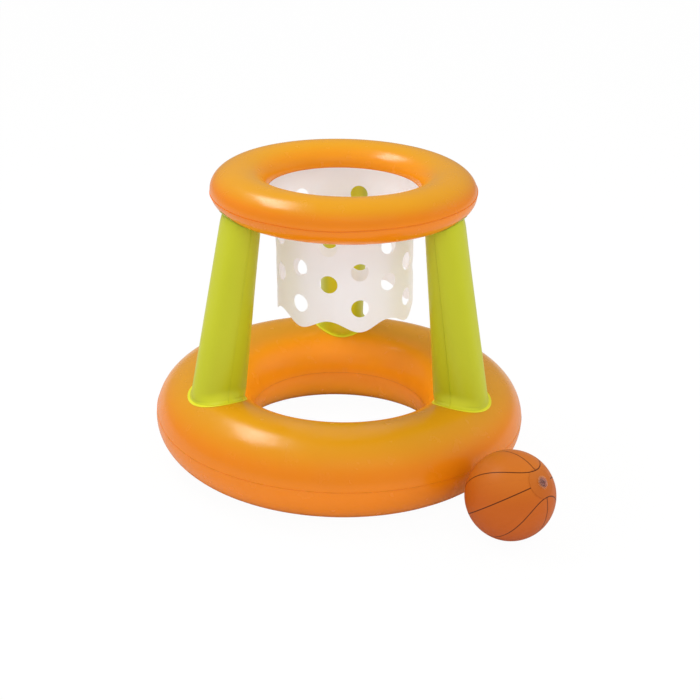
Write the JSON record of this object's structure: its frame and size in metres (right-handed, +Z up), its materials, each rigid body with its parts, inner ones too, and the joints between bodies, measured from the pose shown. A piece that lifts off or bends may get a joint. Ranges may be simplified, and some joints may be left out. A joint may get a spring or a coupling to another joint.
{
  "type": "floating basketball hoop",
  "caption": "Inflatable floating basketball hoop for a pool: a fat base ring, upright legs, a smaller ring with a hung net, and its small inflatable ball.",
  "frame": {"origin": "on the surface that the hoop and the ball stand on, under the middle of the box round both", "axes": "+Z up; +Y from the front of the hoop, where the picture is taken from, to its back leg; +X to the right, towards the ball"},
  "size_m": [0.6942, 0.7282, 0.5309],
  "materials": {
    "orange_vinyl": "smooth inflated PVC film, soft gloss",
    "lime_vinyl": "smooth inflated PVC film, soft gloss, slightly translucent",
    "frosted_vinyl": "frosted clear PVC film",
    "ball_vinyl": "printed PVC film, satin",
    "clear_vinyl": "moulded clear soft PVC"
  },
  "bodies": {
    "hoop": {"base_ring_upper_skin": "orange_vinyl", "base_ring_lower_skin": "orange_vinyl", "top_ring_upper_skin": "orange_vinyl", "top_ring_lower_skin": "orange_vinyl", "left_leg_outer_panel": "lime_vinyl", "left_leg_inner_panel": "lime_vinyl", "left_leg_foot_patch": "lime_vinyl", "left_leg_head_patch": "lime_vinyl", "right_leg_outer_panel": "lime_vinyl", "right_leg_inner_panel": "lime_vinyl", "right_leg_foot_patch": "lime_vinyl", "right_leg_head_patch": "lime_vinyl", "back_leg_outer_panel": "lime_vinyl", "back_leg_inner_panel": "lime_vinyl", "back_leg_foot_patch": "lime_vinyl", "back_leg_head_patch": "lime_vinyl", "net_sheet": "frosted_vinyl", "base_valve_collar": "clear_vinyl", "top_valve_collar": "clear_vinyl"},
    "ball": {"ball_gore_1": "ball_vinyl", "ball_gore_2": "ball_vinyl", "ball_gore_3": "ball_vinyl", "ball_gore_4": "ball_vinyl", "ball_gore_5": "ball_vinyl", "ball_gore_6": "ball_vinyl", "ball_valve_patch": "ball_vinyl", "ball_end_patch": "ball_vinyl", "ball_valve_collar": "clear_vinyl"},
    "base_stem": {"base_valve_stem": "clear_vinyl", "base_valve_strap": "clear_vinyl"},
    "base_stopper": {"base_valve_stopper": "clear_vinyl"},
    "base_flap": {"base_valve_flap": "clear_vinyl"},
    "top_stem": {"top_valve_stem": "clear_vinyl", "top_valve_strap": "clear_vinyl"},
    "top_stopper": {"top_valve_stopper": "clear_vinyl"},
    "top_flap": {"top_valve_flap": "clear_vinyl"},
    "ball_stem": {"ball_valve_stem": "clear_vinyl", "ball_valve_strap": "clear_vinyl"},
    "ball_stopper": {"ball_valve_stopper": "clear_vinyl"},
    "ball_flap": {"ball_valve_flap": "clear_vinyl"}
  },
  "joints": [
    {"name": "ball_lift", "type": "slide", "parent": "hoop", "child": "ball", "axis": [0, 0, 1], "range_m": [0, 0.6]},
    {"name": "base_stem_slide", "type": "slide", "parent": "hoop", "child": "base_stem", "axis": [0.4417, 0.7651, 0.4685], "range_m": [0, 0.007]},
    {"name": "base_stopper_pull", "type": "slide", "parent": "base_stem", "child": "base_stopper", "axis": [0.4417, 0.7651, 0.4685], "range_m": [0, 0.009], "deforming": ["base_valve_strap"]},
    {"name": "base_flap_swing", "type": "hinge", "parent": "base_stem", "child": "base_flap", "pos_m": [0.14377, 0.29992, 0.1064], "axis": [-0.866, 0.5, 0], "range_deg": [0, 40], "stiffness_Nm_per_rad": 0.0001},
    {"name": "top_stem_slide", "type": "slide", "parent": "hoop", "child": "top_stem", "axis": [-0.4255, 0.737, 0.5252], "range_m": [0, 0.007]},
    {"name": "top_stopper_pull", "type": "slide", "parent": "top_stem", "child": "top_stopper", "axis": [-0.4255, 0.737, 0.5252], "range_m": [0, 0.009], "deforming": ["top_valve_strap"]},
    {"name": "top_flap_swing", "type": "hinge", "parent": "top_stem", "child": "top_flap", "pos_m": [-0.11862, 0.21389, 0.50636], "axis": [-0.866, -0.5, 0], "range_deg": [0, 40], "stiffness_Nm_per_rad": 0.0001},
    {"name": "ball_stem_slide", "type": "slide", "parent": "ball", "child": "ball_stem", "axis": [0.5986, -0.5222, 0.6074], "range_m": [0, 0.007]},
    {"name": "ball_stopper_pull", "type": "slide", "parent": "ball_stem", "child": "ball_stopper", "axis": [0.5986, -0.5222, 0.6074], "range_m": [0, 0.009], "deforming": ["ball_valve_strap"]},
    {"name": "ball_flap_swing", "type": "hinge", "parent": "ball_stem", "child": "ball_flap", "pos_m": [0.30773, -0.32062, 0.11666], "axis": [0.6574, 0.7536, 0], "range_deg": [0, 40], "stiffness_Nm_per_rad": 0.0001}
  ]
}
